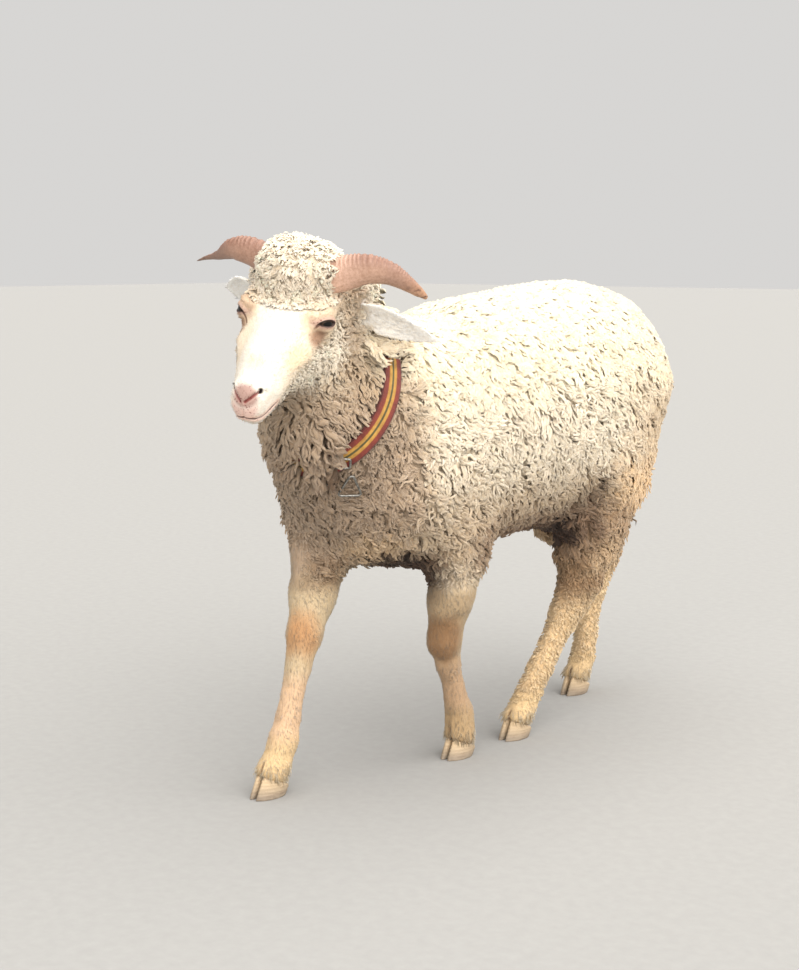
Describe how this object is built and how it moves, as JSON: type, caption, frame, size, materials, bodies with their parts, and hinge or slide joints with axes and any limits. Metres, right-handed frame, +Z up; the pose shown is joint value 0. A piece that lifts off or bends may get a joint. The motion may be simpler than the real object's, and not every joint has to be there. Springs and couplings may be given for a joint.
{
  "type": "sheep",
  "caption": "Life-size still model of a young horned sheep walking, with woolly fleece, short drooping horns and a webbing collar with steel rings.",
  "frame": {"origin": "on the floor under the middle of the whole outline", "axes": "the sheep faces -Y, its left side is +X, +Z up"},
  "size_m": [0.3326, 0.9966, 0.7666],
  "materials": {
    "fleece": "short crimped wool, cream, whiter along the back",
    "skin": "skin under short white hair, pink at the nose and lids",
    "horn": "dull ringed horn, pinkish brown",
    "claw": "dull worn hoof horn, tan to grey",
    "eye": "wet dark brown eye",
    "webbing": "woven rust-red strap with yellow stripes",
    "steel": "worn steel wire"
  },
  "bodies": {
    "root": {"horn_left": "horn", "ear_left": "skin", "eye_left": "eye", "horn_right": "horn", "ear_right": "skin", "eye_right": "eye", "head": "skin", "neck": "fleece", "trunk": "fleece", "tail": "fleece", "collar_strap": "webbing", "collar_triangle_ring": "steel", "collar_round_ring": "steel", "collar_buckle": "steel", "front_left_leg": "fleece", "front_left_claw_outer": "claw", "front_left_claw_inner": "claw", "front_right_leg": "fleece", "front_right_claw_outer": "claw", "front_right_claw_inner": "claw", "hind_left_leg": "fleece", "hind_left_claw_outer": "claw", "hind_left_claw_inner": "claw", "hind_right_leg": "fleece", "hind_right_claw_outer": "claw", "hind_right_claw_inner": "claw"}
  },
  "joints": []
}
